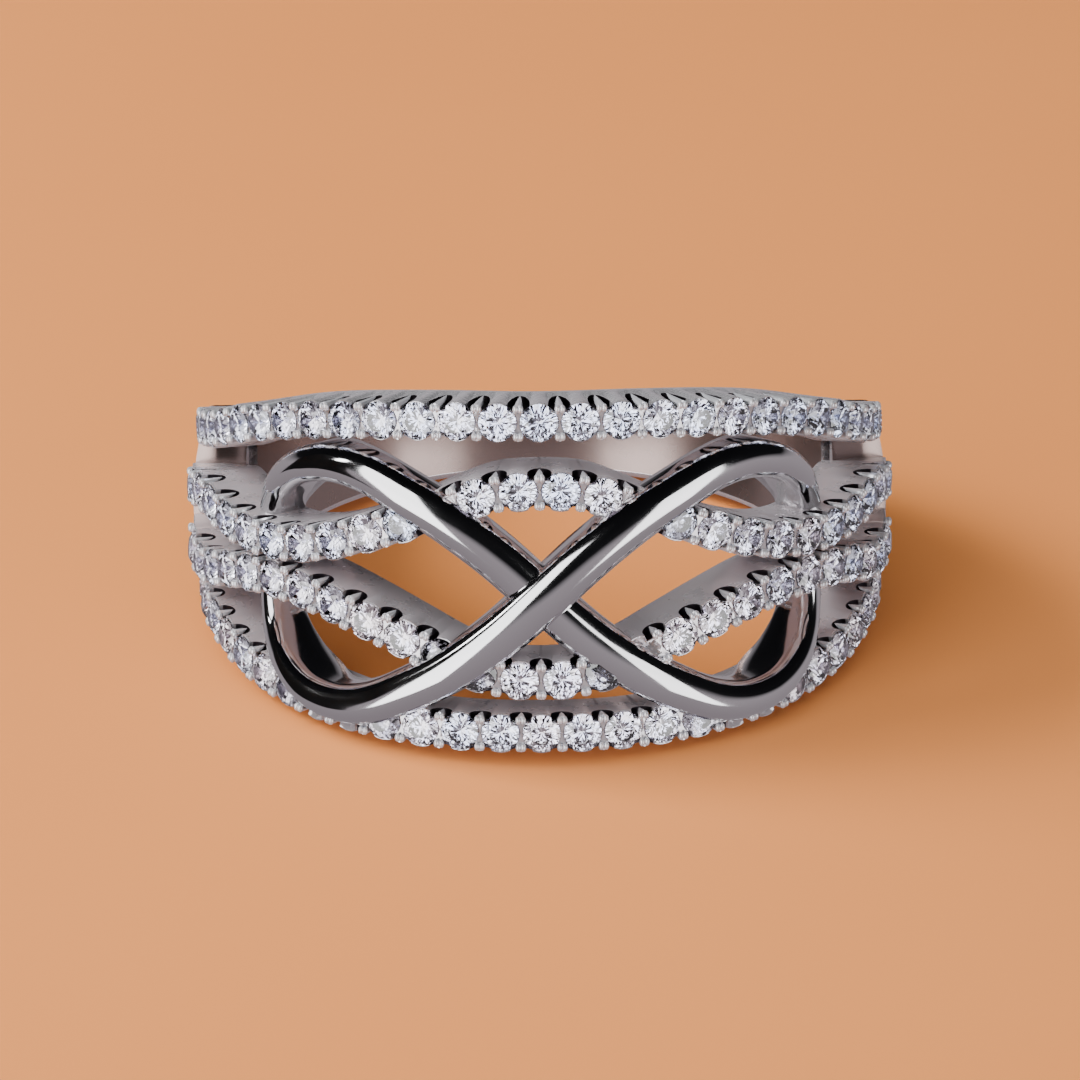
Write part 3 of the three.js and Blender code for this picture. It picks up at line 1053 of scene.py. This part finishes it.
    def prong(self, draft: Draft, seat: Matrix, side: int, depth: float) -> None:
        """Adds a split prong: a post drawn down to a point, with two grains that grip the stones.

        Args:
            draft: takes the prong.
            seat: its frame, at the girdle.
            side: 1 or -1, the side of the rail that it stands on.
            depth: depth of the cut that it stands in.
        """
        ring = np.arange(self.prong_sides) * 2 * math.pi / self.prong_sides
        heights = [(-drop * depth, share) for drop, share in self.prong_rows] + [self.prong_top]
        rows = []
        for height, share in heights:
            reach = self.prong_radius * share
            across = reach * np.sin(ring) + side * (self.prong_radius - reach)
            along = self.prong_stretch * reach * np.cos(ring)
            rows.append(np.stack([along, across, 0 * ring + height], axis=1))
        post = Draft()
        post.sweep(np.stack(rows), closed=False)
        flipped = [face[::-1] for face in post.faces]
        draft.add(self.placed(seat, np.concatenate(post.points)), flipped, RailMetal.GRAIN)
        grain = Grain()
        points, faces = grain.shape()
        for along in (-grain.apart, grain.apart):
            centre = np.array([along, -side * grain.inwards, grain.rise])
            draft.add(self.placed(seat, points + centre), faces, RailMetal.GRAIN)

    def build(self, metals: list[Material], stone: Material) -> list[bpy.types.Object]:
        """Builds the rail.

        Args:
            metals: finishes in the order of RailMetal.
            stone: finish of the stones.

        Returns:
            The metal and the stones, as two objects.
        """
        chance = np.random.default_rng(self.seed)
        metal, stones = Draft(), Draft()
        self.metal(metal)
        count, start = self.spread()
        corners, faces = BrilliantCut().shape()
        for i in range(count):
            length = start + (i + 0.5) * self.pitch
            if self.figure.covers(*self.path.at(length), -self.stone_under):
                continue
            spin = Matrix.Rotation(chance.uniform(0, math.pi / 4), 4, "Z")
            tilt = Matrix.Rotation(math.radians(chance.normal(0, self.stone_tilt)), 4, "X")
            tone = min(max(chance.normal(self.painted_table_warmth, self.tone_spread), 0), 1)
            seat = self.seat(length) @ tilt @ spin
            stones.add(self.placed(seat, corners * self.stone_diameter / 2), faces, tone=tone)
        for i in range(count + 1):
            length = start + i * self.pitch
            run, rise = self.path.at(length)
            along_run, along_rise = self.path.tangent(length)
            for side in (-1, 1):
                reach = side * self.prong_reach
                foot = (run - along_rise * reach, rise + along_run * reach)
                if not self.figure.covers(*foot, -self.prong_under):
                    self.prong(metal, self.seat(length, reach), side, float(self.depth_at(run)))
        return [
            metal.make(f"{self.rail.value}_metal", metals, sharp=35),
            stones.make(f"{self.rail.value}_stones", [stone], sharp=0),
        ]


@dataclass
class Shank:
    """The plain back of the ring, wide at its shoulders and narrow at the back.

    At both shoulders a thin web slopes down between the rails, as the crotch of a cast one does.
    """

    sizes: RingSizes
    # 0.02 under the CAD's, so that the rounded edges stay inside its chamfers.
    back_width: float = 2.38
    back_thickness: float = 1.5
    taper: float = 0.8
    soft: float = 0.2
    sink: float = 0.01
    steps: int = 120
    inner_steps: int = 4
    outer_steps: int = 6
    top_steps: int = 8
    web_angle: float = 9.0
    web_rise: float = 1.05
    web_slope: float = 1.6
    web_inset: float = 0.3
    web_clearance: float = 0.06
    web_steps: int = 10

    def build(self, metals: list[Material]) -> bpy.types.Object:
        """Lofts the band and its webs.

        Args:
            metals: finishes in the order of ShankMetal.

        Returns:
            The shank.
        """
        sizes = self.sizes
        side_half = sizes.spacing * 2 - sizes.rail_gap / 2
        back = sizes.bore + self.back_thickness
        sections = []
        for i in range(self.steps + 2 * self.web_steps + 1):
            beyond = max(self.web_steps - i, i - self.web_steps - self.steps, 0) / self.web_steps
            place = min(max(i - self.web_steps, 0), self.steps) / self.steps
            angle = mix(sizes.rail_end_angle, 360 - sizes.rail_end_angle, place)
            share = math.sin(math.pi * place) ** self.taper if 0 < place < 1 else 0.0
            half = mix(side_half, self.back_width / 2, share)
            edge = mix(sizes.edge_radius, back, share)
            middle = mix(sizes.strand_radius, back, share)
            floor = sizes.bore
            if beyond > 0:
                half -= self.web_inset
                angle += self.web_angle * beyond * (1 if i > self.web_steps else -1)
                edge = sizes.bore + 2 * self.soft + self.web_rise * (1 - beyond) ** self.web_slope
                middle = edge
                floor += self.web_clearance
            offsets, radii = self.profile(half, floor, edge, middle)
            sections.append(sizes.rolled(math.radians(angle) * sizes.edge_radius, offsets, radii))
        corners = len(sections[0])

        def slot_at(section: int, corner: int) -> int:
            """The metal of one face.

            Args:
                section: the section that it starts at.
                corner: the corner that it starts at.

            Returns:
                Its slot number.
            """
            web = not self.web_steps <= section < self.web_steps + self.steps
            # The webs and the bore take the painted reflection of the table top.
            if web or corner == corners - 1:
                return ShankMetal.BORE
            flat = min(corner, corners - 2 - corner) < self.inner_steps + 2
            return ShankMetal.SIDE if flat else ShankMetal.POLISHED

        draft = Draft()
        draft.sweep(np.stack(sections), closed=False, slot_at=slot_at)
        return draft.make("shank_band", metals, sharp=50)

    def profile(
        self, half: float, floor: float, edge: float, middle: float
    ) -> tuple[np.ndarray, np.ndarray]:
        """One section of the shank.

        Args:
            half: half its width.
            floor: radius of its inside.
            edge: radius of its outside near its sides.
            middle: radius of its outside in the middle.

        Returns:
            Offsets along the finger and radii of its corners.
        """
        soft, outer = self.soft, 2 * self.soft
        left = []
        for a in np.linspace(0, math.pi / 2, self.inner_steps + 1):
            left.append((-half + soft * (1 - math.sin(a)), floor + soft * (1 - math.cos(a))))
        for a in np.linspace(0, math.pi / 2, self.outer_steps + 1):
            radius = edge - outer + (outer - soft / 2) * math.sin(a)
            left.append((-half + soft * (1 - math.cos(a)), radius))
        for share in (k / self.top_steps for k in range(1, self.top_steps)):
            radius = mix(edge - soft / 2, middle, math.sin(math.pi / 2 * share))
            left.append((mix(-half + soft, 0, share), radius - self.sink))
        whole = left + [(0.0, middle - self.sink)] + [(-o, r) for o, r in reversed(left)]
        return np.array([o for o, _ in whole]), np.array([r for _, r in whole])


def heading(azimuth: float, elevation: float) -> Vector:
    """The direction at an azimuth (0 to the camera, positive to the right) and an elevation."""
    turn, lift = math.radians(azimuth), math.radians(elevation)
    level = math.cos(lift)
    return Vector((level * math.sin(turn), -level * math.cos(turn), math.sin(lift)))


class Lamp(Enum):
    """The studio's lamps, by what they do."""

    KEY = "key"
    FILL = "fill"
    SPOT = "spot"
    OVERHEAD = "overhead"
    WINDOW = "window"
    CARD = "card"
    STRIP = "strip"


@dataclass(frozen=True)
class Panel:
    """A flat panel, placed and sized by the angles at which the ring sees it."""

    azimuth: float
    elevation: float
    wide: float
    high: float
    distance: float = 0.3

    def size(self) -> tuple[float, float]:
        """Its width and height in metres."""
        wide, high = math.radians(self.wide / 2), math.radians(self.high / 2)
        return 2 * self.distance * math.tan(wide), 2 * self.distance * math.tan(high)

    def hang(self, made: bpy.types.Object, target: Vector) -> None:
        """Puts an object at the panel's place, its -z axis towards the target."""
        away = heading(self.azimuth, self.elevation)
        made.location = target + away * self.distance
        made.rotation_euler = (-away).to_track_quat("-Z", "Y").to_euler()


@dataclass(frozen=True)
class SoftBox:
    """One area lamp."""

    lamp: Lamp
    panel: Panel
    radiance: float
    colour: str = "ffffff"
    mirrored: bool = True
    scattered: bool = True
    rounded: bool = False

    def build(self, target: Vector) -> None:
        """Makes the lamp.

        Args:
            target: where the ring stands.
        """
        data = bpy.data.lights.new(self.lamp.value, "AREA")
        data.shape = "ELLIPSE" if self.rounded else "RECTANGLE"
        data.size, data.size_y = self.panel.size()
        data.energy = self.radiance * math.pi * data.size * data.size_y
        data.color = linear(self.colour)[:3]
        made = bpy.data.objects.new(f"lamp_{self.lamp.value}", data)
        made.visible_glossy, made.visible_diffuse = self.mirrored, self.scattered
        self.panel.hang(made, target)
        bpy.context.scene.collection.objects.link(made)


@dataclass
class Studio:
    """The table, the lamps and the camera."""

    sizes: RingSizes
    camera_distance: float = 200.0
    camera_elevation: float = 25.91
    camera_roll: float = 0.48
    pixels_per_mm: float = 32.7
    frame_pixels: float = 1080.0
    film_width: float = 36.0
    aim_below: float = 1.28
    target: tuple[float, float, float] = (0, 0, 0.005)
    table_reach: float = 1.6
    table_cells: int = 8
    # The room's brightness from straight down (0) over the horizon (0.5) to straight up (1).
    sky: tuple[tuple[float, str], ...] = ((0.5, "a29a9f"), (0.55, "8a8589"), (0.63, "151517"))
    sky_ends: tuple[str, str] = ("8f868b", "0c0c0e")
    flag: Panel = Panel(-84, 6, 38, 60, distance=0.34)
    boxes: tuple[SoftBox, ...] = (
        SoftBox(Lamp.KEY, Panel(-42, 14, 33, 68), 3.6),
        SoftBox(Lamp.FILL, Panel(47, 3, 28, 48), 2.8),
        SoftBox(Lamp.SPOT, Panel(-76, 33, 7, 15), 7.0, rounded=True),
        SoftBox(Lamp.OVERHEAD, Panel(-30, 68, 80, 60), 1.7, mirrored=False),
        SoftBox(Lamp.WINDOW, Panel(-100, 38, 28, 26), 17.0, mirrored=False),
        SoftBox(Lamp.CARD, Panel(0, -55, 120, 70), 0.6, mirrored=False, scattered=False),
        *(
            SoftBox(Lamp.STRIP, Panel(a, 30, 9, 56), 5.0, "e8eeff", mirrored=False, scattered=False)
            for a in (-16, 5, 26)
        ),
    )

    def build_table(self) -> bpy.types.Object:
        """Makes the table top, a wide flat sheet that polished metal and stones don't show.

        Returns:
            The table top.
        """
        row = self.table_cells + 1
        steps = np.linspace(-self.table_reach / 2, self.table_reach / 2, row)
        grid = np.array([[x, y, 0.0] for y in steps for x in steps])
        firsts = [r * row + c for r in range(self.table_cells) for c in range(self.table_cells)]
        draft = Draft()
        draft.add(grid, [[i, i + 1, i + row + 1, i + row] for i in firsts])
        table = draft.make("table_top", [TableTop().build()], sharp=30)
        table.visible_glossy = table.visible_transmission = table.visible_shadow = False
        return table

    def build_flag(self) -> bpy.types.Object:
        """Makes the black card beside the key lamp, which only polished metal mirrors.

        Returns:
            The card.
        """
        width, height = self.flag.size()
        corners = np.array([[-1.0, -1, 0], [1, -1, 0], [1, 1, 0], [-1, 1, 0]])
        draft = Draft()
        draft.add(corners * (width / 2, height / 2, 1), [[0, 1, 2, 3]])
        flag = draft.make("black_flag", [BlackCard().build()], sharp=0)
        self.flag.hang(flag, Vector(self.target))
        flag.visible_camera = flag.visible_diffuse = False
        flag.visible_transmission = flag.visible_shadow = False
        return flag

    def build_world(self) -> None:
        """Lights the room: grey walls, dark overhead."""
        world = bpy.data.worlds.new("room")
        bpy.context.scene.world = world
        world.use_nodes = True
        graph = Graph(world.node_tree)
        place = graph.add("ShaderNodeTexCoord").outputs["Generated"]
        axes = graph.add("ShaderNodeSeparateXYZ", inputs={"Vector": place})
        limits = {"Value": axes.outputs["Z"], "From Min": -1.0}
        height = graph.add("ShaderNodeMapRange", inputs=limits).outputs["Result"]
        ramp = graph.add("ShaderNodeValToRGB", inputs={"Fac": height})
        for element, place, colour in zip(ramp.color_ramp.elements, (0.0, 1.0), self.sky_ends):
            element.position, element.color = place, linear(colour)
        for place, colour in self.sky:
            ramp.color_ramp.elements.new(place).color = linear(colour)
        light = {"Color": ramp.outputs["Color"], "Strength": 1.0}
        room = graph.add("ShaderNodeBackground", inputs=light)
        graph.add("ShaderNodeOutputWorld", inputs={"Surface": room.outputs["Background"]})

    def build_camera(self) -> None:
        """Sets the camera at the photograph's angle."""
        data = bpy.data.cameras.new("camera")
        data.sensor_width = self.film_width
        data.lens = self.film_width * self.pixels_per_mm * self.camera_distance / self.frame_pixels
        data.clip_start, data.clip_end = 0.01, 10.0
        camera = bpy.data.objects.new("camera", data)
        bpy.context.scene.collection.objects.link(camera)
        centre = Vector((0, self.sizes.back_shift, self.sizes.lift)) * MM
        lift = math.radians(self.camera_elevation)
        up = Vector((0, math.sin(lift), math.cos(lift)))
        place = centre + heading(0, self.camera_elevation) * self.camera_distance * MM
        look = centre - up * self.aim_below * MM - place
        turn = look.to_track_quat("-Z", "Y").to_matrix().to_4x4()
        roll = Matrix.Rotation(math.radians(-self.camera_roll), 4, "Z")
        camera.matrix_world = Matrix.Translation(place) @ turn @ roll
        bpy.context.scene.camera = camera

    def build(self) -> None:
        """Builds the whole studio."""
        self.build_table()
        self.build_flag()
        self.build_world()
        self.build_camera()
        for box in self.boxes:
            box.build(Vector(self.target))


def settle(piece: bpy.types.Object, slot: str, *nodes: str) -> None:
    """Ties a piece to the CAD.

    Args:
        piece: it rides on the root.
        slot: the record's material slot that it shows; not used.
        nodes: the CAD nodes that it stands for.
    """
    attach(piece, "root")
    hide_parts(*nodes)
    LOG.info("%s: %d faces, for %s", piece.name, len(piece.data.polygons), ", ".join(nodes))


def main() -> None:
    """Builds every piece in order, then the studio."""
    logging.basicConfig(level=logging.INFO, format="%(name)s %(message)s")
    sizes = RingSizes()
    figure, lattice = InfinityFigure(sizes), Lattice(sizes)
    polished, stone = PolishedSilver().build(), BrilliantStone().build()
    # The bore and the webs are painted warm brownish: painted reflection of the warm table top,
    # which polished metal doesn't show.
    inside = SatinSilver("bore_painted_reflection", "a8958f", 0.24, 0.95, uneven=0.04).build()
    sides = SatinSilver("satin_sides", "dcd6da", 0.16, 0.8, uneven=0.04).build()
    # Deep in the cuts the metal is painted dark: painted shade, which gives the eye the dark
    # notches.
    shaded = SatinSilver("painted_shade_silver", "4a4348", 0.35, 1.0, 0.2, 0.4, ends=(0.0, 1.0)).build()
    walls = SatinSilver("satin_walls", "d8d2d6", 0.24, 0.6).build()
    grains = SatinSilver("burnished_grains", "eef0f6", 0.16, 0.6).build()
    metals = [CutSilver().build(), shaded, walls, grains]
    settle(Shank(sizes).build([polished, inside, sides]), "polished_silver", "shank")
    common = (sizes, lattice, figure)
    upper_edge = {"cut_depth": 1.28, "cut_fade": 0.5, "rib_belly": 0.09, "bright_ribs": True}
    # The lower rails get warmer stones: painted reflection of the warm table top.
    rails = (
        PaveRail(Rail.UPPER_EDGE, *common, seed=1, painted_table_warmth=0.3, **upper_edge),
        PaveRail(Rail.UPPER_STRAND, *common, seed=2, painted_table_warmth=0.3, cut_depth=0.65),
        PaveRail(Rail.LOWER_STRAND, *common, seed=3, painted_table_warmth=0.6, cut_depth=0.55),
        PaveRail(Rail.LOWER_EDGE, *common, seed=4, painted_table_warmth=0.7, cut_depth=0.4),
    )
    for row in rails:
        for piece in row.build(metals, stone):
            settle(piece, "stone_set_silver", row.rail.node)
    settle(figure.build(polished), "polished_silver", "infinity")
    Studio(sizes).build()


if __name__ == "__main__":
    main()
